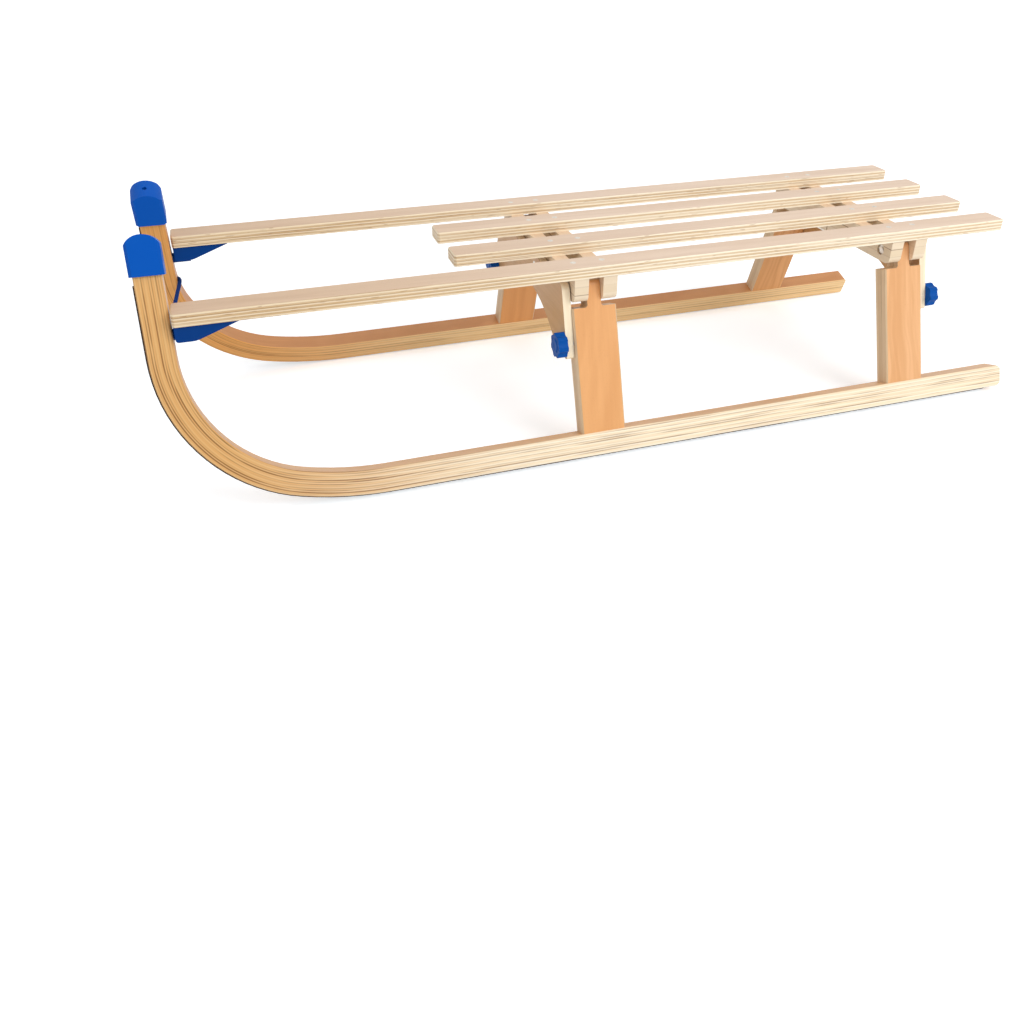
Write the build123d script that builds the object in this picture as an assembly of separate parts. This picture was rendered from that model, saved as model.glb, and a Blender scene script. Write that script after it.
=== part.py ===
from build123d import *

import os
from math import cos, pi, radians, sin, sqrt, tan

os.makedirs("parts", exist_ok=True)

# A folding wooden sled, in millimetres: +X forward, +Y to the sled's left, +Z up.
# The left half is modelled and the right half is its mirror image, apart from the centre hinges.

# Overall stance
REACH = 998.0  # from the runner's rear end to the front of its curl
PIVOT_Y = 109.0  # leg pivot axis, out from the centre line
PIVOT_Z = 182.0  # leg pivot axis, above the ground
SPLAY = 19.0  # degrees that each leg frame leans outward
PIVOT_LOW = 1.0  # leg pivot axis below the middle of the crossbars
HINGE_DROP = 3.5  # centre hinge axis below the crossbars

# Runners, bent from laminated beech
RUNNER_W = 23.0
RUNNER_T = 26.0
EASE_R = 375.0  # gentle first bend of the sole
EASE_DEG = 14.0
CURL_R = 161.0  # tight bend of the sole up to vertical
TIP_HEIGHT = 276.0  # wooden tip above the sole, along the frame
TAIL_CHAMFER = 4.0  # rear end's upper and lower edges
TAIL_CLIP = 2.0  # rear end's inner corner, seen from above
RUNNER_EASE = 1.0  # chamfer of all four long edges

# Steel strip under each runner
STRIP_W = 15.0
STRIP_T = 1.6
STRIP_TAIL = 17.0  # bare wood behind the strip
STRIP_CAP_GAP = 8.0  # bare wood between the strip's upper end and the cap
STRIP_END_FLAT = 0.5  # left between the two rounded corners of its rear end, each side

# Curl caps
CAP_WALL = 3.0
CAP_DEPTH = 30.0  # how far the cap reaches down the wood
CAP_TOP = 8.7  # dome's top above the wood's tip
CAP_DOME = 9.2  # dome's rise above its own corners
CAP_CORNER = 3.0  # chamfer of its four upright corners
CAP_FIT = 0.1  # room in the cap beyond the wood, both sides together
CAP_HOLE_R = 2.5

# Legs
LEG_X = (143.0, 541.5)  # centres of the rear and front legs
LEG_T = 20.0
LEG_PROUD = 1.1  # leg face beyond the battens, front and back
LEG_CORNER = 1.5
SHOULDER_DROP = 23.5  # leg shoulders below the pivot
TONGUE_W = 16.0
TONGUE_ROOT = 2.0  # chamfer left where the tongue meets its shoulders
TONGUE_GAP = 0.4  # running gap beside each tongue

# Crossbar battens
BATTEN_T = 16.0
BATTEN_H = 28.0
BATTEN_INSET = 1.0  # batten end, in from the long slat's outer edge
BATTEN_START = 1.0  # half the gap at the fold line
BATTEN_ROUND = 8.0

# Seat slats
SLAT_T = 13.0
SLAT_W = 31.0
SLAT_REAR = 11.0
SLAT_FRONT_GAP = 2.0  # long slat's front end to the curl
SHORT_SLAT = 667.0
LONG_INNER = 98.0
SHORT_INNER = 23.0
SLAT_CLIP = 2.2
SLAT_EDGE = 1.0  # chamfer round the top

# Pivot bolts
BOLT_R = 3.0
BOLT_FIT = 0.05  # running fit of everything that turns
PRESS_FIT = 0.02  # fit of everything that is held fast
HEAD_FLATS = 10.0
HEAD_T = 4.0
HEAD_SUNK = 0.5
HEAD_FIT = 0.1  # the head's pocket beyond it, across the flats
NUT_FLATS = 10.0
NUT_T = 4.0
NUT_SUNK = 1.8
NUT_ROOM = 0.6  # round the nut's corners

# Front pivot brackets and pins
BRACKET_L = 60.0
BRACKET_W = 25.0
BRACKET_DEPTH = 17.0
BRACKET_TAIL = 1.5
BRACKET_FLAT = 19.0  # deep part, before the taper
BRACKET_KNEE_R = 25.0
BRACKET_NOSE_R = 3.0
BOSS_R = 5.5
BOSS_L = 17.0
BOSS_GAP = 0.3  # boss to the curl
BRACKET_GAP = 2.5  # bracket body to the curl
PIN_R = 3.0
PIN_IN_CURL = 20.0
BORE_EXTRA = 1.0  # a blind bore is this much deeper than what stands in it

# Centre hinges
BARREL_R = 3.2
HINGE_PIN_R = 1.6
LEAF_T = 1.6
LEAF_W = 24.0
KNUCKLES = 3
KNUCKLE_GAP = 0.3
LEAF_RELIEF = 0.6
PIN_SHORT = 0.2  # hinge pin inside its outer knuckles, each end

# Arched bridge boards
BOARD_T = 9.0
BOARD_SEAT = 0.3
BOARD_TOP_GAP = 8.5  # board's top below the slats
BOARD_H = 79.5
BOARD_TAPER = 24.3  # how far each side leans in from foot to top
BOARD_CORNER = 11.0
FOOT_OUT = 8.8  # foot's outer corner, out from the knob
FOOT_W = 37.0  # flat foot beside the arch
FOOT_CORNER = 3.0
ARCH_RISE = 42.0
RIVET_Y = 24.0
RIVET_DROP = 11.0
RIVET_R = 4.5
KNOB_UP = 15.5  # knob above the board's foot
KNOB_OUT = 1.4  # knob out from the middle of the leg

# Star knobs
KNOB_R = 14.0
KNOB_LOBES = 7
KNOB_WAIST_R = 12.2  # from the axis to the middle of a hollow between two lobes
KNOB_LOBE_FLAT = 3.6  # blunt tip of a lobe
KNOB_T = 11.0
KNOB_GAP = 0.3  # knob's back to the board's face
STUD_R = 4.0
STUD_IN_LEG = 30.0

# Derived places
S, C = sin(radians(SPLAY)), cos(radians(SPLAY))
# The frame rests on the inner edge of its strip or of its wood, whichever is lower.
EDGE_DROP = max(RUNNER_W / 2 * S, STRIP_W / 2 * S + STRIP_T * C)
PIVOT_B = (PIVOT_Z - EDGE_DROP) / C  # pivot above the sole, along the frame
SOLE_Y = PIVOT_Y + PIVOT_B * S
SEAT_BOTTOM = PIVOT_Z + PIVOT_LOW + BATTEN_H / 2
BATTEN_BOTTOM = SEAT_BOTTOM - BATTEN_H
HINGE_Z = BATTEN_BOTTOM - HINGE_DROP
STACK = TONGUE_W + 2 * TONGUE_GAP
BAR_W = STACK + 2 * BATTEN_T  # crossbar over both battens
LEG_W = BAR_W + 2 * LEG_PROUD
BATTEN_END = LONG_INNER + SLAT_W - BATTEN_INSET
CURL_INNER_X = REACH - RUNNER_T
LONG_SLAT = CURL_INNER_X - SLAT_FRONT_GAP - SLAT_REAR
STRIP_TOP = TIP_HEIGHT - CAP_DEPTH - STRIP_CAP_GAP
BOARD_TOP = SEAT_BOTTOM - BOARD_TOP_GAP
BOARD_FOOT = BOARD_TOP - BOARD_H
KNOB_Z = BOARD_FOOT + KNOB_UP
KNOB_Y = PIVOT_Y + (PIVOT_Z - KNOB_Z) * tan(radians(SPLAY)) + KNOB_OUT
BOARD_HALF_FOOT = KNOB_Y + FOOT_OUT
BOARD_HALF_TOP = BOARD_HALF_FOOT - BOARD_TAPER
ARCH_HALF = BOARD_HALF_FOOT - FOOT_W
X_SHIFT = -(REACH + CAP_WALL) / 2
CUT = 1.0  # how far a cutting solid stands out of what it cuts

# The leg frame's own plane: X along the sled, Y up the splayed leg, Z inward across the runner.
FRAME = Plane(origin=(X_SHIFT, SOLE_Y, EDGE_DROP), x_dir=(1, 0, 0), z_dir=(0, -C, -S))


def across(width):
    """Location that centres an extrusion of the given width on the frame plane."""
    return Location((0, 0, -width / 2))


def mirror_right(solid):
    return mirror(solid, about=Plane.XZ)


def sole_points(offset):
    """Start, arc middles and ends of the sole's path, moved inward by offset."""
    ease, rest = radians(EASE_DEG), radians(90 - EASE_DEG)
    r1, r2 = EASE_R - offset, CURL_R - offset
    # The curl's bend centre sets both arcs, measured back from the front of the sled.
    centre = Vector(REACH - CURL_R, EASE_R - (EASE_R - CURL_R) * cos(ease))
    ease_centre = centre + Vector(-(EASE_R - CURL_R) * sin(ease), (EASE_R - CURL_R) * cos(ease))

    def on(middle, radius, angle):
        return middle + Vector(radius * sin(angle), -radius * cos(angle))

    start = on(ease_centre, r1, 0)
    bend = on(ease_centre, r1, ease)
    top = on(centre, r2, pi / 2)
    return start, on(ease_centre, r1, ease / 2), bend, on(centre, r2, ease + rest / 2), top


def bent_profile(rear, low, high, top):
    """Closed outline of a bent strip between two offsets from the sole."""
    a = sole_points(low)
    b = sole_points(high)
    outer = [
        Line((rear, low), a[0]),
        ThreePointArc(a[0], a[1], a[2]),
        ThreePointArc(a[2], a[3], a[4]),
        Line(a[4], (REACH - low, top)),
    ]
    inner = [
        Line((REACH - low, top), (REACH - high, top)),
        Line((REACH - high, top), b[4]),
        ThreePointArc(b[4], b[3], b[2]),
        ThreePointArc(b[2], b[1], b[0]),
        Line(b[0], (rear, high)),
        Line((rear, high), (rear, low)),
    ]
    return make_face(Curve() + outer + inner)


def polar(radius, angle):
    return Vector(radius * cos(angle), radius * sin(angle))


def in_frame(local):
    return FRAME.location * local


def frame_bore(x, radius, length, fit=BOLT_FIT):
    """Cylinder along X through the pivot axis of the leg frame, in the frame's own plane."""
    rod = Cylinder(radius + fit, length, rotation=(0, 90, 0))
    return Pos(x, PIVOT_B, 0) * rod


def x_rod(radius, x_low, x_high, y, z):
    length = x_high - x_low
    return Pos(X_SHIFT + (x_low + x_high) / 2, y, z) * Cylinder(radius, length, rotation=(0, 90, 0))


def block(x_low, x_high, y_low, y_high, z_low, z_high):
    size = (x_high - x_low, y_high - y_low, z_high - z_low)
    centre = (X_SHIFT + (x_low + x_high) / 2, (y_low + y_high) / 2, (z_low + z_high) / 2)
    return Pos(*centre) * Box(*size)


def runner():
    """Bent runner with its rear end's corners cut back and a bore for the bracket's pin."""
    body = across(RUNNER_W) * extrude(bent_profile(0, 0, RUNNER_T, TIP_HEIGHT), RUNNER_W)
    tail = body.edges().filter_by(Axis.Z).group_by(Axis.X)[0]
    body = chamfer(tail, TAIL_CHAMFER)
    clip = body.edges().filter_by(Axis.Y).group_by(Axis.X)[0].sort_by(Axis.Z)[-1]
    body = chamfer(clip, TAIL_CLIP)
    sides = body.faces().filter_by(Axis.Z).edges()
    body = chamfer([edge for edge in sides if edge.length > TAIL_CLIP + RUNNER_T], RUNNER_EASE)
    deep = PIN_IN_CURL + BORE_EXTRA
    bore = frame_bore(CURL_INNER_X + (deep - CUT) / 2, PIN_R, deep + CUT)
    return in_frame(body - bore)


def strip():
    body = extrude(bent_profile(STRIP_TAIL, -STRIP_T, 0, STRIP_TOP), STRIP_W)
    tail = body.edges().filter_by(Axis.Y).group_by(Axis.X)[0]
    body = fillet(tail, STRIP_W / 2 - STRIP_END_FLAT)
    return in_frame(across(STRIP_W) * body)


def leg(centre_x, stud_side):
    """A board leg with a narrow rounded tongue, standing on the runner."""
    shoulder = PIVOT_B - SHOULDER_DROP
    board = Pos(centre_x, (RUNNER_T + shoulder) / 2, 0) * Box(LEG_W, shoulder - RUNNER_T, LEG_T)
    board = chamfer(board.edges().filter_by(Axis.Y), LEG_CORNER)
    tongue = Pos(centre_x, (shoulder + PIVOT_B) / 2, 0) * Box(TONGUE_W, PIVOT_B - shoulder, LEG_T)
    end = Pos(centre_x, PIVOT_B, 0) * Cylinder(LEG_T / 2, TONGUE_W, rotation=(0, 90, 0))
    body = board + tongue + end
    roots = [(centre_x + side * TONGUE_W / 2, shoulder, 0) for side in (-1, 1)]
    across_edges = body.edges().filter_by(Axis.Z)
    body = chamfer([across_edges.sort_by_distance(root)[0] for root in roots], TONGUE_ROOT)
    body = in_frame(body - frame_bore(centre_x, BOLT_R, LEG_W))
    face = centre_x + stud_side * LEG_W / 2
    ends = sorted((face + stud_side * CUT, face - stud_side * STUD_IN_LEG))
    return body - x_rod(STUD_R + BOLT_FIT, *ends, KNOB_Y, KNOB_Z)


def slat(inner, length):
    face = Rectangle(length, SLAT_W)
    board = extrude(face, SLAT_T)
    board = chamfer(board.edges().filter_by(Axis.Z), SLAT_CLIP)
    board = chamfer(board.edges().group_by(Axis.Z)[-1], SLAT_EDGE)
    return Pos(X_SHIFT + SLAT_REAR + length / 2, inner + SLAT_W / 2, SEAT_BOTTOM) * board


def batten(centre_x, side):
    """One of a crossbar's two battens, in front of the tongue (side 1) or behind it (side -1)."""
    near = centre_x + side * STACK / 2
    far = near + side * BATTEN_T
    low, high = min(near, far), max(near, far)
    body = block(low, high, BATTEN_START, BATTEN_END, BATTEN_BOTTOM, SEAT_BOTTOM)
    corner = body.edges().filter_by(Axis.X).group_by(Axis.Z)[0].sort_by(Axis.Y)[-1]
    body = fillet(corner, BATTEN_ROUND)
    return body - x_rod(BOLT_R + PRESS_FIT, low - CUT, high + CUT, PIVOT_Y, PIVOT_Z)


def hexagon(flats, x_low, x_high):
    """Hexagonal prism on the pivot axis, given across its flats."""
    base = Plane(origin=(X_SHIFT + x_low, PIVOT_Y, PIVOT_Z), x_dir=(0, 1, 0), z_dir=(1, 0, 0))
    return extrude(base * RegularPolygon(flats / 2, 6, major_radius=False), x_high - x_low)


def pivot_bolt(centre_x, head_side):
    """Hexagon bolt and its nut, both sunk in the crossbar's faces."""
    head_out = centre_x + head_side * (BAR_W / 2 - HEAD_SUNK)
    nut_out = centre_x - head_side * (BAR_W / 2 - NUT_SUNK)
    head = hexagon(HEAD_FLATS, *sorted((head_out, head_out - head_side * HEAD_T)))
    nut = hexagon(NUT_FLATS, *sorted((nut_out, nut_out + head_side * NUT_T)))
    return head + nut + x_rod(BOLT_R, *sorted((head_out, nut_out)), PIVOT_Y, PIVOT_Z)


def bolt_recesses(centre_x, head_side):
    """Pocket that holds the bolt's head, and a round counterbore with room to turn its nut."""
    head_face = centre_x + head_side * BAR_W / 2
    nut_face = centre_x - head_side * BAR_W / 2
    head_ends = sorted((head_face + head_side * CUT, head_face - head_side * (HEAD_SUNK + HEAD_T)))
    nut_ends = sorted((nut_face - head_side * CUT, nut_face + head_side * (NUT_SUNK + NUT_T)))
    pocket = hexagon(HEAD_FLATS + HEAD_FIT, *head_ends)
    return pocket + x_rod(NUT_FLATS / sqrt(3) + NUT_ROOM, *nut_ends, PIVOT_Y, PIVOT_Z)


def bracket():
    """Wedge under the long slat's front end, with the boss that holds the front pin."""
    front = CURL_INNER_X - BRACKET_GAP
    tail = front - BRACKET_L
    nose = (front, SEAT_BOTTOM - BRACKET_DEPTH)
    knee = (front - BRACKET_FLAT, SEAT_BOTTOM - BRACKET_DEPTH)
    tip = (tail, SEAT_BOTTOM - BRACKET_TAIL)
    outline = make_face(Polyline((front, SEAT_BOTTOM), nose, knee, tip, (tail, SEAT_BOTTOM), close=True))
    corners = outline.vertices().sort_by(Axis.Y)[:2].sort_by(Axis.X)
    outline = fillet(corners[0], BRACKET_KNEE_R)
    outline = fillet(outline.vertices().sort_by_distance(nose)[0], BRACKET_NOSE_R)
    outer_y = LONG_INNER + (SLAT_W + BRACKET_W) / 2
    side = Plane(origin=(X_SHIFT, outer_y, 0), x_dir=(1, 0, 0), z_dir=(0, -1, 0))
    body = extrude(side * outline, BRACKET_W)
    boss = x_rod(BOSS_R, front - BOSS_L, CURL_INNER_X - BOSS_GAP, PIVOT_Y, PIVOT_Z)
    bore = x_rod(PIN_R + PRESS_FIT, front - BOSS_L, CURL_INNER_X, PIVOT_Y, PIVOT_Z)
    return body + boss - bore


def front_pin():
    front = CURL_INNER_X - BRACKET_GAP
    return x_rod(PIN_R, front - BOSS_L, CURL_INNER_X + PIN_IN_CURL, PIVOT_Y, PIVOT_Z)


def cap():
    """Moulded cap over the curl's tip, with a domed top."""
    outer_t = RUNNER_T + 2 * CAP_WALL
    outer_w = RUNNER_W + 2 * CAP_WALL
    low = TIP_HEIGHT - CAP_DEPTH
    crown = TIP_HEIGHT + CAP_TOP
    corner = crown - CAP_DOME
    left, right = CURL_INNER_X - CAP_WALL, REACH + CAP_WALL
    middle = (left + right) / 2
    outline = make_face(
        Curve()
        + [
            Line((left, low), (right, low)),
            Line((right, low), (right, corner)),
            ThreePointArc((right, corner), (middle, crown), (left, corner)),
            Line((left, corner), (left, low)),
        ]
    )
    shell = across(outer_w) * extrude(outline, outer_w)
    shell = chamfer(shell.edges().filter_by(Axis.Y), CAP_CORNER)
    room_h = TIP_HEIGHT - low + CUT
    room_size = (RUNNER_T + CAP_FIT, room_h, RUNNER_W + CAP_FIT)
    room = Pos(middle, TIP_HEIGHT - room_h / 2, 0) * Box(*room_size)
    hole = Pos(middle, crown, 0) * Cylinder(CAP_HOLE_R, 2 * (CAP_TOP + CUT), rotation=(90, 0, 0))
    return in_frame(shell - room - hole)


def knuckle_spans(centre_x):
    """Low and high X of each knuckle of a centre hinge, counted from the rear."""
    pitch = BAR_W / KNUCKLES
    start = centre_x - BAR_W / 2
    gap = KNUCKLE_GAP / 2
    return [(start + i * pitch + gap, start + (i + 1) * pitch - gap) for i in range(KNUCKLES)]


def hinge_leaf(centre_x, side):
    """Half of a centre hinge: side 1 is the left leaf, side -1 the right one."""
    first = 0 if side > 0 else 1
    clear = BARREL_R + LEAF_RELIEF
    plate = block(
        centre_x - BAR_W / 2, centre_x + BAR_W / 2, clear, LEAF_W, BATTEN_BOTTOM - LEAF_T, BATTEN_BOTTOM
    )
    for low, high in knuckle_spans(centre_x)[first::2]:
        plate += block(low, high, 0, clear, BATTEN_BOTTOM - LEAF_T, BATTEN_BOTTOM - (HINGE_DROP - BARREL_R))
        plate += x_rod(BARREL_R, low, high, 0, HINGE_Z)
    if side < 0:
        plate = mirror_right(plate)
    bore = HINGE_PIN_R + (PRESS_FIT if side > 0 else BOLT_FIT)
    return plate - x_rod(bore, centre_x - BAR_W, centre_x + BAR_W, 0, HINGE_Z)


def hinge_pin(centre_x):
    half = BAR_W / 2 - PIN_SHORT
    return x_rod(HINGE_PIN_R, centre_x - half, centre_x + half, 0, HINGE_Z)


def board_span(centre_x, side):
    near = centre_x + side * (LEG_W / 2 + BOARD_SEAT)
    return sorted((near, near + side * BOARD_T))


def bridge_board(centre_x, side):
    """Arched board bolted across the legs; side 1 faces forward."""
    low, high = board_span(centre_x, side)
    arch_top = (0, BOARD_FOOT + ARCH_RISE)
    outline = make_face(
        Curve()
        + [
            Polyline(
                (-ARCH_HALF, BOARD_FOOT),
                (-BOARD_HALF_FOOT, BOARD_FOOT),
                (-BOARD_HALF_TOP, BOARD_TOP),
                (BOARD_HALF_TOP, BOARD_TOP),
                (BOARD_HALF_FOOT, BOARD_FOOT),
                (ARCH_HALF, BOARD_FOOT),
            ),
            ThreePointArc((ARCH_HALF, BOARD_FOOT), arch_top, (-ARCH_HALF, BOARD_FOOT)),
        ]
    )
    face = Plane(origin=(X_SHIFT + low, 0, 0), x_dir=(0, 1, 0), z_dir=(1, 0, 0))
    body = extrude(face * outline, BOARD_T)
    top = body.edges().filter_by(Axis.X).group_by(Axis.Z)[-1]
    body = fillet(top, BOARD_CORNER)
    foot = body.edges().filter_by(Axis.X).group_by(Axis.Z)[0].sort_by(Axis.Y)
    body = fillet((foot[0], foot[-1]), FOOT_CORNER)
    for y in (-KNOB_Y, KNOB_Y):
        body -= x_rod(STUD_R + PRESS_FIT, low - CUT, high + CUT, y, KNOB_Z)
    for y in (-RIVET_Y, RIVET_Y):
        body -= x_rod(RIVET_R + PRESS_FIT, low - CUT, high + CUT, y, BOARD_TOP - RIVET_DROP)
    return body


def board_rivets(centre_x, side):
    low, high = board_span(centre_x, side)
    rivets = [x_rod(RIVET_R, low, high, y, BOARD_TOP - RIVET_DROP) for y in (-RIVET_Y, RIVET_Y)]
    return Compound(rivets)


def knob_outline():
    """Seven blunt lobes with hollows between them."""
    step = 2 * pi / KNOB_LOBES
    half = KNOB_LOBE_FLAT / 2 / KNOB_R
    outline = []
    for i in range(KNOB_LOBES):
        tip = [polar(KNOB_R, i * step + turn) for turn in (-half, half)]
        hollow = polar(KNOB_WAIST_R, (i + 0.5) * step)
        following = polar(KNOB_R, (i + 1) * step - half)
        outline += [Line(*tip), ThreePointArc(tip[1], hollow, following)]
    return make_face(Curve() + outline)


def star_knob(centre_x, side, y, reach):
    """Lobed knob on a stud that reaches back from the board's face."""
    low, high = board_span(centre_x, side)
    face = high if side > 0 else low
    body = Pos(0, 0, KNOB_GAP) * extrude(knob_outline(), KNOB_T)
    length = reach + KNOB_GAP + KNOB_T / 2
    stud = Pos(0, 0, length / 2 - reach) * Cylinder(STUD_R, length)
    place = Plane(origin=(X_SHIFT + face, y, KNOB_Z), x_dir=(0, 1, 0), z_dir=(side, 0, 0))
    return place.location * (body + stud)


def save(name, solid):
    solid.label = name
    export_step(solid, f"parts/{name}.step")


def save_pair(name, solid):
    save(f"left_{name}", solid)
    save(f"right_{name}", mirror_right(solid))


save_pair("runner", runner())
save_pair("sole_strip", strip())
save_pair("curl_cap", cap())
save_pair("long_slat", slat(LONG_INNER, LONG_SLAT))
save_pair("short_slat", slat(SHORT_INNER, SHORT_SLAT))
save_pair("front_bracket", bracket())
save_pair("front_pin", front_pin())

# The board stands ahead of the front legs and behind the rear legs, over the bolts' heads.
for place, centre_x, board_side in (("rear", LEG_X[0], -1), ("front", LEG_X[1], 1)):
    recesses = bolt_recesses(centre_x, board_side)
    save_pair(f"{place}_leg", leg(centre_x, board_side))
    save_pair(f"{place}_crossbar_fore_batten", batten(centre_x, 1) - recesses)
    save_pair(f"{place}_crossbar_aft_batten", batten(centre_x, -1) - recesses)
    save_pair(f"{place}_pivot_bolt", pivot_bolt(centre_x, board_side))
    save(f"left_{place}_hinge_leaf", hinge_leaf(centre_x, 1))
    save(f"right_{place}_hinge_leaf", hinge_leaf(centre_x, -1))
    save(f"{place}_hinge_pin", hinge_pin(centre_x))
    save(f"{place}_bridge_board", bridge_board(centre_x, board_side))
    save(f"{place}_board_rivets", board_rivets(centre_x, board_side))
    stud = BOARD_T + BOARD_SEAT + STUD_IN_LEG - BORE_EXTRA
    save(f"{place}_left_knob", star_knob(centre_x, board_side, KNOB_Y, stud))
    save(f"{place}_right_knob", star_knob(centre_x, board_side, -KNOB_Y, BOARD_T))
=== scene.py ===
"""Looks for a folding wooden sled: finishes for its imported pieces, its screws, and a plain studio."""

import logging
import math
from collections.abc import Callable, Iterable
from dataclasses import dataclass, replace
from enum import Enum
from functools import partialmethod

import bmesh
import bpy
from bmesh.types import BMesh, BMVert
from bpy.types import Curve, Material, Mesh, Node, NodeTree, Object
from bpy.types import NodeSocket as Socket
from mathutils import Matrix, Vector


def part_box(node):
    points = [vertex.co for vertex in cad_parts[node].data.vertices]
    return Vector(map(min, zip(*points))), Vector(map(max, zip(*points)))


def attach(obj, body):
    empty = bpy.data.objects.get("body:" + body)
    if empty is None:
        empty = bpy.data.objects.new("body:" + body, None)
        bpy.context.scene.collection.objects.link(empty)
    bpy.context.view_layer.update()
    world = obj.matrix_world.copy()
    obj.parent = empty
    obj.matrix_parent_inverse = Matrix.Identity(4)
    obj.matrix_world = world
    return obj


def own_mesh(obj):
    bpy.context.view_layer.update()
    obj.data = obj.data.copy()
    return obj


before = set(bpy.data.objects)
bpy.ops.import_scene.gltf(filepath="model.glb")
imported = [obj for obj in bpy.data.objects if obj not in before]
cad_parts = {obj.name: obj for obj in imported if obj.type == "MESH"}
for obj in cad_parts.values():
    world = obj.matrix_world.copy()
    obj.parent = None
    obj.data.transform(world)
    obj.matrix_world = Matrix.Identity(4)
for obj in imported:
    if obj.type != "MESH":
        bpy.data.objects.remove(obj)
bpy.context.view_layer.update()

LOG = logging.getLogger("sled")
Colour = tuple[float, float, float]
Axis3 = tuple[float, float, float]
Sockets = dict[str, Socket]

NOWHERE, AHEAD, UP = (0.0, 0.0, 0.0), (1.0, 0.0, 0.0), (0.0, 0.0, 1.0)
LEFTWARD = (0.0, 1.0, 0.0)
SPLAY = math.radians(19.0)  # lean of the leg frames
SINE, COSINE = math.sin(SPLAY), math.cos(SPLAY)
REAR_END = -0.5005  # X of the runners' rear ends
ENDS = ("front", "rear")
ROWS = ("fore", "aft")


class Side(Enum):
    """The sled's two mirrored halves, with the sign of their Y."""

    LEFT = 1
    RIGHT = -1

    def __str__(self) -> str:
        """The side's word in the names of pieces."""
        return self.name.lower()


# Building node trees


class Graph:
    """Short calls for adding and joining the nodes of one tree."""

    NODES_IN_ROW = 12
    STEP_X, STEP_Y = 180, -220

    def __init__(self, tree: NodeTree) -> None:
        """Start on a tree.

        Args:
            tree: the node tree of a material, a world or a group.
        """
        self.tree = tree

    def feed(self, node: Node, given: dict | Iterable) -> None:
        """Join a node's inputs to other sockets, or give them plain values.

        Args:
            node: the node to feed.
            given: sockets, numbers or tuples, by the inputs' names or else in their order.
        """
        for key, value in given.items() if isinstance(given, dict) else enumerate(given):
            socket = node.inputs[key]
            if isinstance(value, Socket):
                self.tree.links.new(value, socket)
            elif socket.type == "RGBA":
                socket.default_value = (*value, 1.0)
            else:
                socket.default_value = value

    def add(self, kind: str, given: dict | Iterable = (), **settings: object) -> Node:
        """Add a node, set its plain properties and feed its inputs.

        Args:
            kind: the node's type name.
            given: what its inputs get, by name or in order.
            settings: properties to set on it.

        Returns:
            The new node.
        """
        node = self.tree.nodes.new(kind)
        for key, value in settings.items():
            setattr(node, key, value)
        row, column = divmod(len(self.tree.nodes), self.NODES_IN_ROW)
        node.location = (self.STEP_X * column, self.STEP_Y * row)
        self.feed(node, given)
        return node

    def math(self, operation: str, *values: object, clamp: bool = False) -> Socket:
        """A Math node's result on sockets or numbers."""
        return self.add("ShaderNodeMath", values, operation=operation, use_clamp=clamp).outputs[0]

    plus = partialmethod(math, "ADD")
    less = partialmethod(math, "SUBTRACT")
    times = partialmethod(math, "MULTIPLY")
    scaled = partialmethod(math, "MULTIPLY_ADD")  # the first times the second, plus the third

    def at_least(self, least: float, share: Socket) -> Socket:
        """A share of 0 to 1 raised so that it runs from this least value to 1."""
        return self.scaled(share, 1.0 - least, least)

    def vector(self, operation: str, *values: object) -> Socket:
        """A Vector Math node's result: the number for a dot product or length, or else the vector."""
        node = self.add("ShaderNodeVectorMath", values, operation=operation)
        return node.outputs["Value" if operation in ("DOT_PRODUCT", "LENGTH") else "Vector"]

    def combine(self, *parts: object) -> Socket:
        """A vector from three numbers."""
        return self.add("ShaderNodeCombineXYZ", parts).outputs[0]

    def split(self, whole: Socket, kind: str = "XYZ") -> tuple[Socket, Socket, Socket]:
        """The three parts of a vector, or of a colour where the kind is Color."""
        return tuple(self.add(f"ShaderNodeSeparate{kind}", [whole]).outputs)

    def mix(self, share: object, first: object, second: object, blend: str = "MIX") -> Socket:
        """A colour between two others, or blended as named."""
        given = {"Factor": share, "A": first, "B": second}
        node = self.add("ShaderNodeMix", given, data_type="RGBA", clamp_factor=True, blend_type=blend)
        return next(s for s in node.outputs if s.type == "RGBA")

    def span(self, value: Socket, low: float, high: float, start: float = 0.0, end: float = 1.0) -> Socket:
        """A value eased from one range to another.

        Args:
            value: the number to map.
            low: where the result is start.
            high: where the result is end.
            start: the result at low.
            end: the result at high.

        Returns:
            The mapped number's socket.
        """
        given = (value, low, high, start, end)
        return self.add("ShaderNodeMapRange", given, interpolation_type="SMOOTHSTEP").outputs[0]

    def noise(self, point: Socket, scale: float = 1.0, detail: float = 2.0, warp: float = 0.0) -> Socket:
        """Smooth noise in three dimensions."""
        given = {"Vector": point, "Scale": scale, "Detail": detail, "Distortion": warp}
        return self.add("ShaderNodeTexNoise", given, noise_dimensions="3D").outputs["Fac"]

    def cells(self, point: Socket, scale: float = 1.0) -> tuple[Socket, Socket]:
        """Each random cell's own number from 0 to 1, and the distance from its middle."""
        given = {"Vector": point, "Scale": scale, "Randomness": 1.0}
        made = self.add("ShaderNodeTexVoronoi", given, voronoi_dimensions="3D", feature="F1").outputs
        return self.split(made["Color"], "Color")[0], made["Distance"]

    def chance(self, number: Socket, seed: Socket) -> Socket:
        """A random value from 0 to 1 for each whole number."""
        spot = {"Vector": self.combine(number, seed, 0.0)}
        return self.add("ShaderNodeTexWhiteNoise", spot, noise_dimensions="2D").outputs["Value"]

    def bump(self, height: Socket, depth: float) -> Socket:
        """A normal from a height of 0 to 1, where 1 is this many metres."""
        given = {"Strength": 1.0, "Distance": depth, "Height": height}
        return self.add("ShaderNodeBump", given).outputs["Normal"]

    def group(self, tree: NodeTree, given: dict[str, object]) -> Sockets:
        """Place a shared group, feed its named inputs and give its outputs."""
        return self.add("ShaderNodeGroup", given, node_tree=tree).outputs

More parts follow.
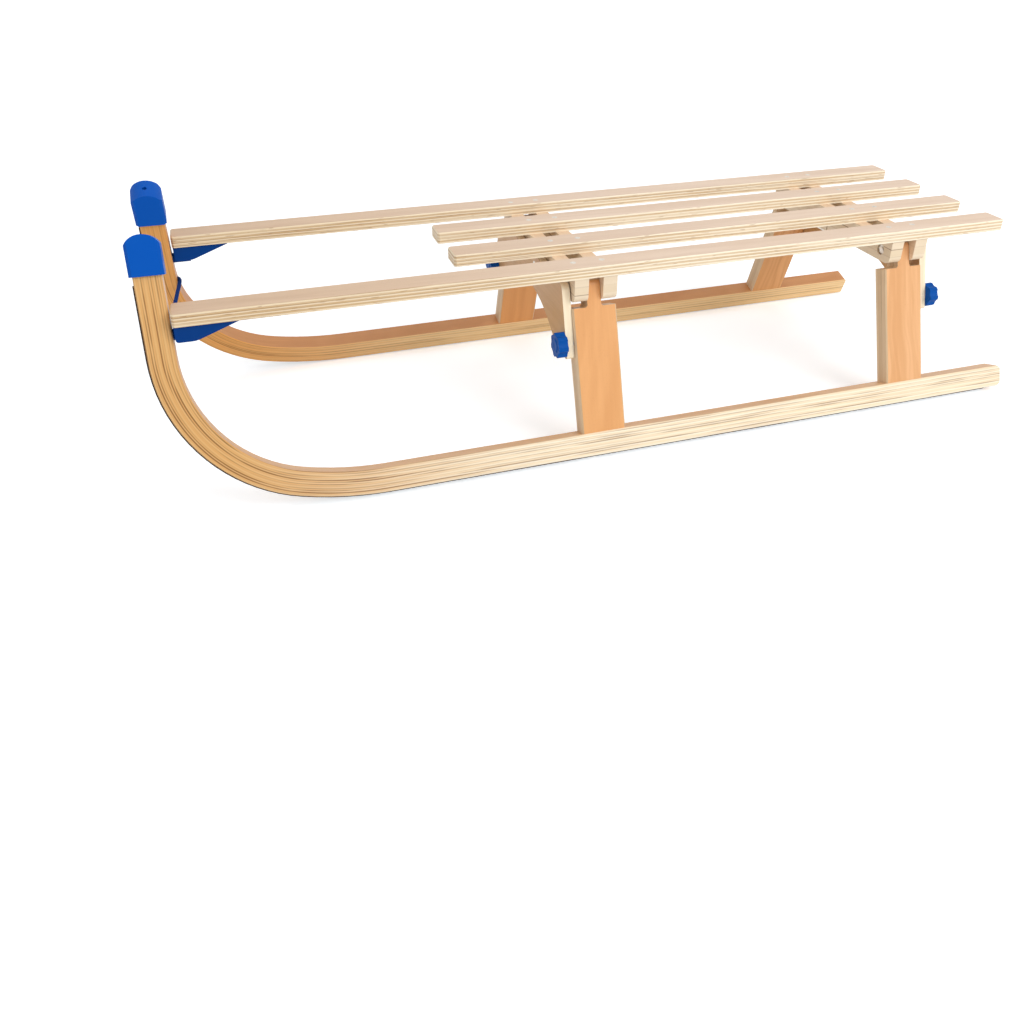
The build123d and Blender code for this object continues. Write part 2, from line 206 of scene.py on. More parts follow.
    def seen_directly(self) -> Socket:
        """1 where the camera or a reflection looks, and 0 for the light that a surface gives."""
        rays = self.add("ShaderNodeLightPath").outputs
        return self.math("MAXIMUM", rays["Is Camera Ray"], rays["Is Glossy Ray"])


def make_group(
    name: str,
    inputs: dict[str, object],
    outputs: tuple[str, ...],
    body: Callable[[Graph, Sockets], Sockets],
) -> NodeTree:
    """Make a shader node group with named sockets.

    Args:
        name: the group's name.
        inputs: each input's default, a number or a vector.
        outputs: the names of the numbers that it puts out.
        body: builds the group's inside and returns a socket for each output.

    Returns:
        The group's tree.
    """
    tree = bpy.data.node_groups.new(name, "ShaderNodeTree")
    for key, default in inputs.items():
        kind = "Vector" if isinstance(default, tuple) else "Float"
        socket = tree.interface.new_socket(key, in_out="INPUT", socket_type=f"NodeSocket{kind}")
        socket.default_value = default
    for key in outputs:
        tree.interface.new_socket(key, in_out="OUTPUT", socket_type="NodeSocketFloat")
    graph = Graph(tree)
    entry, leave = graph.add("NodeGroupInput"), graph.add("NodeGroupOutput")
    graph.feed(leave, body(graph, {key: entry.outputs[key] for key in inputs}))
    return tree


def straight_axes_body(g: Graph, given: Sockets) -> Sockets:
    """Lengths along, across and through a straight board, from its grain and stack directions."""
    point = g.vector("SUBTRACT", given["Point"], given["Origin"])
    across = g.vector("CROSS_PRODUCT", given["Stack"], given["Grain"])
    facing_out = g.vector("DOT_PRODUCT", given["Normal"], given["Stack"])
    ways = {"Along": given["Grain"], "Across": across, "Depth": given["Stack"]}
    lengths = {key: g.vector("DOT_PRODUCT", point, way) for key, way in ways.items()}
    return lengths | {"Facing": g.math("ABSOLUTE", facing_out)}


@dataclass(frozen=True)
class Bend:
    """The bent runner's sole line, in metres in the leg frame's own plane."""

    sole_y: float = 0.1703217
    sole_z: float = 0.0039556
    reach: float = 0.998
    ease_radius: float = 0.375
    ease_angle: float = math.radians(14.0)
    curl_radius: float = 0.161

    @property
    def curl_centre(self) -> tuple[float, float]:
        """The tight bend's centre, as distance from the rear and height above the sole."""
        drop = (self.ease_radius - self.curl_radius) * math.cos(self.ease_angle)
        return self.reach - self.curl_radius, self.ease_radius - drop

    @property
    def ease_start(self) -> float:
        """Where the straight sole ends and its first bend starts, from the rear."""
        return self.curl_centre[0] - (self.ease_radius - self.curl_radius) * math.sin(self.ease_angle)


BEND = Bend()


def bent_axes_body(g: Graph, given: Sockets) -> Sockets:
    """Lengths along, across and through a runner, which follow its bends."""

    def raised(y: Socket, z: Socket) -> Socket:
        return g.less(g.times(z, COSINE), g.times(y, SINE))

    def arc(centre: tuple[float, float], radius: float) -> tuple[Socket, Socket]:
        ahead, below = g.less(x, centre[0]), g.less(centre[1], up)
        reach = g.vector("LENGTH", g.combine(ahead, below, 0.0))
        return g.math("ARCTAN2", ahead, below), g.less(radius, reach)

    def choose(test: Socket, when_true: object, when_false: object) -> Socket:
        pair = {"Factor": test, "A": when_false, "B": when_true}
        return g.add("ShaderNodeMix", pair, data_type="FLOAT", clamp_factor=True).outputs[0]

    x, y, z = g.split(g.vector("SUBTRACT", given["Point"], (REAR_END, 0.0, BEND.sole_z)))
    y = g.less(g.times(y, given["Side"]), BEND.sole_y)
    up, across = raised(y, z), g.plus(g.times(z, SINE), g.times(y, COSINE))
    face_x, face_y, face_z = g.split(given["Normal"])
    face_up = raised(g.times(face_y, given["Side"]), face_z)
    ease_angle, ease_depth = arc((BEND.ease_start, BEND.ease_radius), BEND.ease_radius)
    curl_angle, curl_depth = arc(BEND.curl_centre, BEND.curl_radius)
    ease_along = g.scaled(ease_angle, BEND.ease_radius, BEND.ease_start)
    ease_length = BEND.ease_start + BEND.ease_radius * BEND.ease_angle
    curl_along = g.scaled(g.less(curl_angle, BEND.ease_angle), BEND.curl_radius, ease_length)
    curl_length = ease_length + BEND.curl_radius * (math.pi / 2 - BEND.ease_angle)
    tip_along = g.plus(g.less(up, BEND.curl_centre[1]), curl_length)
    in_ease = g.math("GREATER_THAN", x, BEND.ease_start)
    in_curl = g.times(in_ease, g.math("GREATER_THAN", ease_angle, BEND.ease_angle))
    in_tip = g.times(in_curl, g.math("GREATER_THAN", up, BEND.curl_centre[1]))
    along, depth, turn = x, up, 0.0
    for test, *stretch in (
        (in_ease, ease_along, ease_depth, ease_angle),
        (in_curl, curl_along, curl_depth, curl_angle),
        (in_tip, tip_along, g.less(BEND.reach, x), math.pi / 2),
    ):
        along, depth, turn = (choose(test, new, old) for new, old in zip(stretch, (along, depth, turn)))
    rearward = g.times(face_x, g.math("SINE", turn))
    upward = g.times(face_up, g.math("COSINE", turn))
    facing_out = g.math("ABSOLUTE", g.less(upward, rearward))
    return {"Along": along, "Across": across, "Depth": depth, "Facing": facing_out}


# Length and width, in metres, of waves drawn out along the grain
SWAY_WAVE = (0.16, 0.05)
BROAD_WAVE = (0.30, 0.018)
FINE_WAVE = (0.045, 0.0016)
RAY_CELL = (0.0034, 0.0009)

NOISE_MIDDLE = 0.5
SEED_SHIFT, SEED_TURN = 3.7, 2.3
PITH_DEPTH, PITH_SWING = 0.012, -0.008
RING_DRIFT, RING_SHARE = 1.5, 0.58
FIGURE_SPAN, RAY_SPAN = (0.38, 0.62), (0.12, 0.34)
RAYLESS, RAY_RELIEF = 0.62, 0.5


def beech_figure_body(g: Graph, given: Sockets) -> Sockets:
    """Beech seen on a face: growth rings that arch along the board, fine streaks and short rays."""
    seed, along = given["Seed"], given["Along"]
    shift = g.times(seed, SEED_SHIFT)

    def stretched(length: float, width: float) -> Socket:
        sizes = (("Along", length, shift), ("Across", width, shift), ("Depth", width, seed))
        return g.combine(*(g.scaled(given[key], 1.0 / size, start) for key, size, start in sizes))

    sway = g.less(g.noise(stretched(*SWAY_WAVE)), NOISE_MIDDLE)
    off = g.scaled(g.math("SINE", g.times(seed, SEED_TURN)), PITH_SWING, given["Across"])
    sunk = g.scaled(along, given["Tilt"], g.plus(given["Depth"], PITH_DEPTH))
    radius = g.scaled(sway, given["Sway"], g.vector("LENGTH", g.combine(off, sunk, 0.0)))
    ring_place = g.combine(g.math("DIVIDE", radius, given["Ring"]), seed, g.times(along, RING_DRIFT))
    rings = g.noise(ring_place, detail=1.5)
    broad = g.noise(stretched(*BROAD_WAVE), warp=0.6)
    fine = g.noise(stretched(*FINE_WAVE), detail=3.0, warp=0.2)
    coarse = g.scaled(rings, RING_SHARE, g.times(broad, 1.0 - RING_SHARE))
    figure = g.scaled(g.less(fine, coarse), given["Fine"], coarse)
    number, distance = g.cells(stretched(*RAY_CELL))
    rays = g.times(g.math("GREATER_THAN", number, RAYLESS), g.span(distance, *RAY_SPAN, 1.0, 0.0))
    return {
        "Figure": g.span(figure, *FIGURE_SPAN),
        "Rays": rays,
        "Height": g.less(fine, g.times(rays, RAY_RELIEF)),
    }


# Noise on a veneered edge: its waves in a metre along, its waves across, and its detail
DRIFT_NOISE = (3.2, 9.0, 3.0)
FADE_NOISE = (7.0, 5.3, 3.0)
FIBRE_NOISE = (60.0, 5.0, 3.0)
SWELL_NOISE = (4.5, 3.1, 2.0)
CHIP_NOISE = (62.0, 1.15, 1.0)

LINE_SEED, FIBRE_SEED = 41.0, 2.0
FADE_SPAN, LINE_SPAN, SWELL_SPAN, CHIP_SPAN = (0.38, 0.60), (0.25, 0.70), (0.32, 0.56), (0.66, 0.72)
FAINTEST_LINE, FAINTEST_FADE, FAINTEST_BAND = 0.22, 0.15, 0.4
MIXED_SHARE, FIBRE_SHARE, CHIP_SHARE = 0.35, 0.6, 0.8
LINE_SHARPNESS, LINE_SWELL, LEAST_WIDTH = 0.7, 0.7, 0.5
TONE_RELIEF, LINE_RELIEF = 0.4, 0.6


def veneer_edge_body(g: Graph, given: Sockets) -> Sockets:
    """Stacked veneers seen on an edge: a tone for each, and glue lines that swell and fade."""
    sheet, seed = given["Veneer"], given["Seed"]

    def waves(kind: tuple[float, float, float], other: Socket, start: Socket = seed) -> Socket:
        along, across, detail = kind
        place = g.combine(g.times(given["Along"], along), g.times(other, across), start)
        return g.noise(place, detail=detail)

    drift = g.less(waves(DRIFT_NOISE, given["Across"]), NOISE_MIDDLE)
    stack = g.scaled(drift, given["Wander"], g.math("DIVIDE", given["Depth"], sheet))
    number, share, joint = (g.math(kind, stack) for kind in ("FLOOR", "FRACT", "ROUND"))
    odd = g.times(g.math("FRACT", g.times(number, 0.5)), 2.0)
    near = g.times(g.math("MINIMUM", share, g.less(1.0, share)), sheet)
    fade = g.span(waves(FADE_NOISE, joint), *FADE_SPAN)
    strength = g.at_least(FAINTEST_LINE, g.span(g.chance(joint, g.plus(seed, LINE_SEED)), *LINE_SPAN))
    strength = g.times(strength, g.at_least(FAINTEST_FADE, fade))
    width = g.times(given["Line Width"], g.scaled(fade, LINE_SWELL, LEAST_WIDTH))
    line = g.math("POWER", g.less(1.0, g.math("DIVIDE", near, width), clamp=True), LINE_SHARPNESS)
    line = g.times(line, strength)
    fibre = waves(FIBRE_NOISE, stack, g.times(seed, FIBRE_SEED))
    swell = g.span(waves(SWELL_NOISE, number), *SWELL_SPAN)
    banded = g.times(odd, g.at_least(FAINTEST_BAND, swell))
    mixed = g.scaled(odd, MIXED_SHARE, g.times(g.chance(number, seed), MIXED_SHARE))
    tone = g.plus(g.times(g.less(banded, mixed), given["Bands"]), mixed)
    tone = g.scaled(g.less(fibre, NOISE_MIDDLE), FIBRE_SHARE, tone)
    chips = g.times(g.span(waves(CHIP_NOISE, stack), *CHIP_SPAN), given["Chips"])
    return {
        "Tone": g.plus(tone, 0.0, clamp=True),
        "Line": g.scaled(chips, CHIP_SHARE, line, clamp=True),
        "Height": g.less(g.times(tone, TONE_RELIEF), g.times(line, LINE_RELIEF)),
    }


HAIR_TURN, HAIR_SCALE, HAIR_SPAN = (0.4, 0.7, 0.5), (30.0, 900.0, 900.0), (0.66, 0.74)
PATCH_SCALE, PATCH_SPAN = 60.0, (0.5, 0.62)
SMUDGE_SCALE, SMUDGE_SPAN = 14.0, (0.42, 0.72)
CRYSTAL_SCALE, DRAWN_SCALE = 420.0, (12.0, 1500.0, 1500.0)


def handling_body(g: Graph, given: Sockets) -> Sockets:
    """Soft smudges and hairline scuffs left by handling, as masks."""
    point = given["Point"]
    place = {"Vector": point, "Rotation": HAIR_TURN, "Scale": HAIR_SCALE}
    hair = g.noise(g.add("ShaderNodeMapping", place).outputs[0], warp=0.3)
    scuff = g.times(g.span(hair, *HAIR_SPAN), g.span(g.noise(point, PATCH_SCALE, 1.0), *PATCH_SPAN))
    smudge = g.span(g.noise(point, SMUDGE_SCALE, 3.0, 0.4), *SMUDGE_SPAN)
    return {"Smudge": smudge, "Scuff": g.times(scuff, given["Amount"])}


def spangle_body(g: Graph, given: Sockets) -> Sockets:
    """Zinc: pale crystals, and lines drawn along the metal."""
    tone, _ = g.cells(given["Point"], CRYSTAL_SCALE)
    drawn_place = g.add("ShaderNodeMapping", {"Vector": given["Point"], "Scale": DRAWN_SCALE})
    return {"Tone": tone, "Drawn": g.noise(drawn_place.outputs[0])}


POINT: dict[str, object] = {"Point": NOWHERE}
STRIP_INPUTS: dict[str, object] = {"Along": 0.0, "Across": 0.0, "Depth": 0.0, "Seed": 0.0}
AXES_OUT = ("Along", "Across", "Depth", "Facing")
STRAIGHT_AXES = make_group(
    "straight_board_axes",
    POINT | {"Normal": UP, "Origin": NOWHERE, "Grain": AHEAD, "Stack": UP},
    AXES_OUT,
    straight_axes_body,
)
BENT_AXES = make_group("bent_runner_axes", POINT | {"Normal": UP, "Side": 1.0}, AXES_OUT, bent_axes_body)
BEECH_FIGURE = make_group(
    "beech_figure",
    STRIP_INPUTS | {"Tilt": 0.06, "Ring": 0.003, "Sway": 0.010, "Fine": 0.20},
    ("Figure", "Rays", "Height"),
    beech_figure_body,
)
VENEER_EDGE = make_group(
    "veneer_edge",
    STRIP_INPUTS | {"Veneer": 0.0015, "Line Width": 0.0005, "Wander": 0.8, "Bands": 0.0, "Chips": 0.0},
    ("Tone", "Line", "Height"),
    veneer_edge_body,
)
HANDLING = make_group("handling_marks", POINT | {"Amount": 1.0}, ("Smudge", "Scuff"), handling_body)
SPANGLE = make_group("zinc_spangle", POINT, ("Tone", "Drawn"), spangle_body)


# Finishes


def fresh_material(name: str, shown: Colour) -> tuple[Material, Graph, Node, Sockets]:
    """A node material with its shader, its output and a place to start from.

    Args:
        name: the material's name.
        shown: its colour in plain views.

    Returns:
        The material, a graph on its tree, its Principled shader, and its Point and Normal.
    """
    material = bpy.data.materials.new(name)
    material.use_nodes = True
    material.diffuse_color = (*shown, 1.0)
    graph = Graph(material.node_tree)
    place = graph.add("ShaderNodeTexCoord").outputs
    spot = {"Point": place["Object"], "Normal": place["Normal"]}
    return material, graph, material.node_tree.nodes["Principled BSDF"], spot


Axes = Callable[[Graph, Sockets], Sockets]


def straight(grain: Axis3, stack: Axis3, origin: Axis3) -> Axes:
    """Axes for a straight board.

    Args:
        grain: the direction that its grain runs in.
        stack: the direction through its veneers.
        origin: a point on the face where the veneers start.

    Returns:
        A call that places the group in a material.
    """
    board = {"Grain": grain, "Stack": stack, "Origin": origin}
    return lambda g, spot: g.group(STRAIGHT_AXES, spot | board)


def bent(side: Side) -> Axes:
    """Axes for the runner of one side."""
    return lambda g, spot: g.group(BENT_AXES, spot | {"Side": float(side.value)})


@dataclass(frozen=True)
class WoodFinish:
    """Clear lacquered beech, solid or in veneers, with its faces and its edges."""

    name: str
    face: Colour
    figure: Colour
    edge: Colour
    edge_dark: Colour
    glue: Colour
    veneer: float
    line_width: float = 0.0006
    wander: float = 0.8
    bands: float = 0.0
    chips: float = 0.0
    tilt: float = 0.06
    ring: float = 0.003
    sway: float = 0.010
    fine: float = 0.20
    contrast: float = 0.6
    line: float = 0.8
    rays: float = 0.2
    ray_tone: float = 0.6
    marks: float = 0.5
    roughness: float = 0.44
    edge_roughness: float = 0.1
    smudge_roughness: float = 0.08
    relief: float = 0.00012
    coat: float = 0.08
    coat_roughness: float = 0.25
    shine: float = 0.35
    face_from: tuple[float, float] = (0.80, 0.93)
    # The front-end tint below darkens the wood towards its front end: partly the wood's own tone, partly
    # painted shade where less light falls.
    fore_shade: Colour | None = None
    fore_from: tuple[float, float] = (0.60, 0.98)
    shades_face: bool = False
    aft_line: float = 1.0

    def toned(self, face: Colour = (1.0, 1.0, 1.0), edge: Colour = (1.0, 1.0, 1.0)) -> "WoodFinish":
        """The same wood with its face and edge colours multiplied by these; on the far side's pieces this is
        partly painted shade.
        """
        changes = {"face": face, "figure": face, "edge": edge, "edge_dark": edge}
        brightest = 0.98
        for key, by in changes.items():
            changes[key] = tuple(min(brightest, a * b) for a, b in zip(getattr(self, key), by))
        return replace(self, **changes)

    def own(self, *names: str) -> dict[str, float]:
        """This wood's own numbers for a group's inputs of these names."""
        return {name: getattr(self, name.lower().replace(" ", "_")) for name in names}

    def material(self, piece: str, axes: Axes, seed: float) -> Material:
        """This wood on one piece.

        Args:
            piece: the piece's name.
            axes: places the axes group that fits the piece's shape.
            seed: sets this piece's own figure.

        Returns:
            The material.
        """
        material, g, shader, spot = fresh_material(f"{self.name}_{piece}", self.face)
        at = axes(g, spot)
        placed = {key: at[key] for key in ("Along", "Across", "Depth")} | {"Seed": seed}
        figure = g.group(BEECH_FIGURE, placed | self.own("Tilt", "Ring", "Sway", "Fine"))
        veneer = g.group(VENEER_EDGE, placed | self.own("Veneer", "Line Width", "Wander", "Bands", "Chips"))
        marks = g.group(HANDLING, {"Point": spot["Point"], "Amount": self.marks})
        face = g.mix(g.times(figure["Figure"], self.contrast), self.face, self.figure)
        ray_colour = tuple(self.ray_tone * c for c in self.figure)
        face = g.mix(g.times(figure["Rays"], self.rays), face, ray_colour)
        edge = g.mix(veneer["Tone"], self.edge, self.edge_dark)
        line = self.line
        # Towards the front the edge, and where asked the face, turn darker: partly the wood's tone, partly
        # painted shade.
        if self.fore_shade is not None:
            fore = g.span(at["Along"], *self.fore_from)
            edge = g.mix(fore, edge, g.mix(1.0, edge, self.fore_shade, "MULTIPLY"))
            if self.shades_face:
                face = g.mix(fore, face, g.mix(1.0, face, self.fore_shade, "MULTIPLY"))
            line = g.times(g.at_least(self.aft_line, fore), line)
        edge = g.mix(g.times(veneer["Line"], line), edge, self.glue)
        on_face = g.span(at["Facing"], *self.face_from)
        rough = g.scaled(marks["Smudge"], self.smudge_roughness, self.roughness)
        rough = g.scaled(g.less(1.0, on_face), self.edge_roughness, rough)
        height = g.mix(on_face, veneer["Height"], figure["Height"])
        looks = {
            "Base Color": g.mix(on_face, edge, face),
            "Roughness": g.plus(rough, marks["Scuff"]),
            "Normal": g.bump(height, self.relief),
            "Coat Weight": self.coat,
            "Coat Roughness": self.coat_roughness,
            "Specular IOR Level": self.shine,
        }
        g.feed(shader, looks)
        return material


@dataclass(frozen=True)
class PlasticFinish:
    """Moulded plastic with little shine and a faint skin texture."""

    name: str
    colour: Colour
    worn: Colour
    roughness: float = 0.4
    skin_scale: float = 900.0
    skin_roughness: float = 0.06
    cloud_scale: float = 40.0
    cloud_wear: float = 0.12
    scuff_wear: float = 0.35
    smudge_roughness: float = 0.12
    relief: float = 0.00004
    shine: float = 0.08

    def material(self) -> Material:
        """The plastic's material."""
        material, g, shader, spot = fresh_material(self.name, self.colour)
        marks = g.group(HANDLING, {"Point": spot["Point"], "Amount": 1.0})
        skin, cloud = (g.noise(spot["Point"], scale) for scale in (self.skin_scale, self.cloud_scale))
        wear = g.plus(g.times(marks["Scuff"], self.scuff_wear), g.times(cloud, self.cloud_wear))
        rough = g.scaled(marks["Smudge"], self.smudge_roughness, self.roughness)
        looks = {
            "Base Color": g.mix(wear, self.colour, self.worn),
            "Roughness": g.scaled(skin, self.skin_roughness, rough),
            "Normal": g.bump(skin, self.relief),
            "Specular IOR Level": self.shine,
        }
        g.feed(shader, looks)
        return material


@dataclass(frozen=True)
class MetalFinish:
    """Zinc plated or galvanised steel."""

    name: str
    colour: Colour
    dull: Colour
    roughness: float = 0.34
    spangle: float = 0.5
    cut_edge: Colour = (0.05, 0.04, 0.035)
    face_from: tuple[float, float] = (0.5, 0.8)
    marks: float = 0.6
    smudge_shade: float = 0.25
    drawn_roughness: float = 0.16
    tone_roughness: float = 0.12
    relief: float = 0.00003

    def material(self, axes: Axes | None = None) -> Material:
        """The metal's material.

        Args:
            axes: places the axes group of a strip whose cut edges are dark, or None.

        Returns:
            The material.
        """
        material, g, shader, spot = fresh_material(self.name, self.colour)
        zinc = g.group(SPANGLE, {"Point": spot["Point"]})
        marks = g.group(HANDLING, {"Point": spot["Point"], "Amount": self.marks})
        tone = g.times(zinc["Tone"], self.spangle)
        colour = g.mix(g.plus(tone, g.times(marks["Smudge"], self.smudge_shade)), self.colour, self.dull)
        if axes is not None:
            colour = g.mix(g.span(axes(g, spot)["Facing"], *self.face_from), self.cut_edge, colour)
        rough = g.scaled(zinc["Drawn"], self.drawn_roughness, self.roughness)
        looks = {
            "Base Color": colour,
            "Roughness": g.scaled(tone, self.tone_roughness, rough),
            "Normal": g.bump(zinc["Drawn"], self.relief),
            "Metallic": 1.0,
        }
        g.feed(shader, looks)
        return material


@dataclass(frozen=True)
class BraidFinish:
    """Matt dyed braid, with painted shade between its strands."""

    name: str
    colour: Colour
    shade: Colour
    pitch: float = 0.0011
    lean: float = 0.8
    weave_from: tuple[float, float] = (-0.2, 0.9)
    fuzz_scale: float = 2600.0
    fuzz_share: float = 0.4
    fuzz_roughness: float = 0.1
    roughness: float = 0.8
    relief: float = 0.00015
    shine: float = 0.15

    def material(self) -> Material:
        """The braid's material, in crossing bands of fine threads."""
        material, g, shader, spot = fresh_material(self.name, self.colour)
        x, y, z = g.split(spot["Point"])
        runs = (g.scaled(g.plus(x, z), lean, y) for lean in (self.lean, -self.lean))
        bands = (g.math("SINE", g.times(run, 2 * math.pi / self.pitch)) for run in runs)
        fuzz = g.noise(spot["Point"], self.fuzz_scale)
        share = g.scaled(fuzz, self.fuzz_share, g.span(g.math("MAXIMUM", *bands), *self.weave_from))
        looks = {
            # The darker colour between the threads is painted shade.
            "Base Color": g.mix(share, self.shade, self.colour),
            "Roughness": g.scaled(fuzz, self.fuzz_roughness, self.roughness),
            "Normal": g.bump(share, self.relief),
            "Specular IOR Level": self.shine,
        }
        g.feed(shader, looks)
        return material


SLAT_WOOD = WoodFinish(
    name="slat_plywood",
    face=(0.80, 0.615, 0.470),
    figure=(0.68, 0.49, 0.350),
    edge=(0.97, 0.86, 0.67),
    edge_dark=(0.72, 0.52, 0.31),
    glue=(0.32, 0.15, 0.05),
    veneer=0.00186,
    line_width=0.0005,
    wander=0.9,
    bands=0.9,
    chips=0.75,
    ring=0.0045,
    tilt=0.02,
    # Darker, yellower front ends of the slats: partly the wood's tone, partly painted shade where the light
    # falls off.
    fore_shade=(0.87, 0.80, 0.70),
    fore_from=(0.42, 0.86),
    shades_face=True,
    aft_line=0.8,
)
BATTEN_WOOD = WoodFinish(
    name="batten_plywood",
    face=(0.80, 0.60, 0.42),
    figure=(0.68, 0.47, 0.30),
    edge=(0.85, 0.70, 0.515),
    edge_dark=(0.76, 0.60, 0.40),
    glue=(0.24, 0.13, 0.06),
    veneer=0.0093,
    line_width=0.0007,
    wander=0.25,
    line=0.95,
)
BOARD_WOOD = WoodFinish(
    name="board_plywood",
    face=(0.64, 0.375, 0.165),
    figure=(0.55, 0.305, 0.125),
    edge=(0.96, 0.83, 0.61),
    edge_dark=(0.88, 0.72, 0.50),
    glue=(0.55, 0.38, 0.22),
    veneer=0.0030,
    line_width=0.0003,
    line=0.35,
)
LEG_WOOD = WoodFinish(
    name="leg_beech",
    face=(0.81, 0.405, 0.158),
    figure=(0.70, 0.32, 0.110),
    edge=(0.80, 0.60, 0.39),
    edge_dark=(0.63, 0.43, 0.24),
    glue=(0.32, 0.19, 0.09),
    veneer=0.0062,
    line_width=0.0008,
    wander=1.0,
    ring=0.012,
    tilt=0.11,
    sway=0.034,
    fine=0.12,
    contrast=0.7,
    line=0.5,
    rays=0.14,
)
FLOWING_LEG_WOOD = replace(
    LEG_WOOD, face=(0.835, 0.465, 0.225), figure=(0.69, 0.335, 0.130), ring=0.0065, sway=0.045, contrast=0.85
)
RUNNER_WOOD = WoodFinish(
    name="runner_beech",
    face=(0.74, 0.45, 0.235),
    figure=(0.60, 0.33, 0.155),
    edge=(0.97, 0.86, 0.67),
    edge_dark=(0.89, 0.69, 0.44),
    glue=(0.23, 0.085, 0.015),
    veneer=0.0022,
    line_width=0.00085,
    wander=1.0,
    bands=0.3,
    line=1.0,
    # Darker ochre curl: partly the bent wood's tone, partly painted shade where less light falls.
    fore_shade=(0.78, 0.52, 0.26),
    aft_line=0.75,
)
BLUE_PLASTIC = PlasticFinish("blue_plastic", (0.0002, 0.088, 0.46), (0.01, 0.13, 0.52))
# The brackets' darker blue: partly a deeper plastic, partly painted shade under the slats.
DEEP_BLUE_PLASTIC = PlasticFinish("deep_blue_plastic", (0.0002, 0.040, 0.21), (0.006, 0.07, 0.28))
# The knobs' darker blue: partly their own plastic, partly painted shade on their sides.
KNOB_BLUE_PLASTIC = PlasticFinish("knob_blue_plastic", (0.0004, 0.076, 0.35), (0.01, 0.11, 0.42))
BLUE_BRAID = BraidFinish("blue_braid", (0.004, 0.045, 0.24), (0.001, 0.012, 0.08))
GALVANISED = MetalFinish("galvanised_strip", (0.50, 0.52, 0.52), (0.34, 0.35, 0.35), roughness=0.40)
ZINC = MetalFinish("zinc_plating", (0.80, 0.745, 0.67), (0.54, 0.50, 0.45), spangle=0.35)


def dress(node: str, material: Material) -> None:
    """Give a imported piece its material.

    Args:
        node: the piece's name.
        material: what it is made of.
    """
    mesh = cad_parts[node].data
    mesh.materials.clear()
    mesh.materials.append(material)


# A piece's first seed, and what each step of side, end or row adds to it
SLAT_SEEDS = (1.0, 2.3, 1.1)
BATTEN_SEEDS = (7.0, 1.0, 2.1, 0.7)
RUNNER_SEEDS = (21.0, 3.4)
LEG_SEEDS = (31.0, 1.7, 4.1)
BOARD_SEEDS = (51.0, 5.2)
BUSH_SEED = 61.0


def seed_at(seeds: tuple[float, ...], *steps: int) -> float:
    """The seed of the piece that stands this many steps along."""
    seed, *sizes = seeds
    for size, step in zip(sizes, steps):
        seed += size * step
    return seed


# Small fasteners

WELD = 1e-7


@dataclass(frozen=True)
class ScrewHead:
    """A countersunk screw's head with a cross recess, whose parts are sized by shares of its radius."""

    radius: float
    rise: float
    steps: int = 20
    grid: int = 5
    grid_size: float = 0.5
    arm_reach: float = 0.25
    ring: float = 0.88
    ring_turn: float = math.radians(9)
    recess_taper: float = 0.72
    recess_depth: float = 0.42

    def shape(self) -> BMesh:
        """The head facing up, its rim below the ground plane by as much as its middle stands above."""
        radius, rise = self.radius, self.rise
        bm = bmesh.new()
        bmesh.ops.create_grid(bm, x_segments=self.grid, y_segments=self.grid, size=radius * self.grid_size)
        inner = [e for e in bm.edges if e.is_boundary]
        arms = [f for f in bm.faces if f.calc_center_median().length < radius * self.arm_reach]
        ring = bmesh.ops.create_circle(bm, segments=self.steps, radius=radius * self.ring)["verts"]
        bmesh.ops.rotate(bm, verts=ring, cent=NOWHERE, matrix=Matrix.Rotation(self.ring_turn, 3, "Z"))
        outer = [e for e in bm.edges if all(v in ring for v in e.verts)]
        bmesh.ops.bridge_loops(bm, edges=inner + outer)
        for v in bm.verts:
            v.co.z = rise * (1.0 - (v.co.xy.length / radius) ** 2)
        rim = bmesh.ops.extrude_edge_only(bm, edges=outer)["geom"]
        for v in rim:
            if isinstance(v, BMVert):
                v.co = Vector((*(v.co.xy.normalized() * radius), -rise))
        sunk = bmesh.ops.extrude_face_region(bm, geom=arms)["geom"]
        bmesh.ops.delete(bm, geom=arms, context="FACES_ONLY")
        for v in sunk:
            if isinstance(v, BMVert):
                floor = v.co.z - radius * self.recess_depth
                v.co = Vector((v.co.x * self.recess_taper, v.co.y * self.recess_taper, floor))
        bmesh.ops.recalc_face_normals(bm, faces=bm.faces)
        return bm


def turned(profile: Iterable[tuple[float, float]], steps: int = 24) -> BMesh:
    """A solid turned about Z from a half outline of radius and height.

    Args:
        profile: the outline's points, from the axis at the top to its lower end.
        steps: how many flats it has round the axis.

    Returns:
        The turned solid, closed where the outline meets the axis.
    """
    bm = bmesh.new()
    verts = [bm.verts.new((radius, 0.0, height)) for radius, height in profile]
    edges = [bm.edges.new(pair) for pair in zip(verts, verts[1:])]
    whole = {"cent": NOWHERE, "axis": UP, "dvec": NOWHERE, "angle": 2 * math.pi}
    bmesh.ops.spin(bm, geom=verts + edges, steps=steps, use_merge=True, use_duplicate=False, **whole)
    bmesh.ops.remove_doubles(bm, verts=bm.verts, dist=WELD)
    bmesh.ops.holes_fill(bm, edges=[e for e in bm.edges if e.is_boundary], sides=0)
    bmesh.ops.recalc_face_normals(bm, faces=bm.faces)
    return bm


def show(data: bpy.types.ID, place: Matrix | None = None, smooth: bool = False) -> Object:
    """An object in the scene for a mesh, lamp or camera, with the same name.

    Args:
        data: what it shows.
        place: where it goes, or None for the origin.
        smooth: whether a mesh's faces are shaded smooth.

    Returns:
        The object.
    """
    if isinstance(data, Mesh):
        data.polygons.foreach_set("use_smooth", [smooth] * len(data.polygons))
    made = bpy.data.objects.new(data.name, data)
    if place is not None:
        made.matrix_world = place
    bpy.context.scene.collection.objects.link(made)
    return made


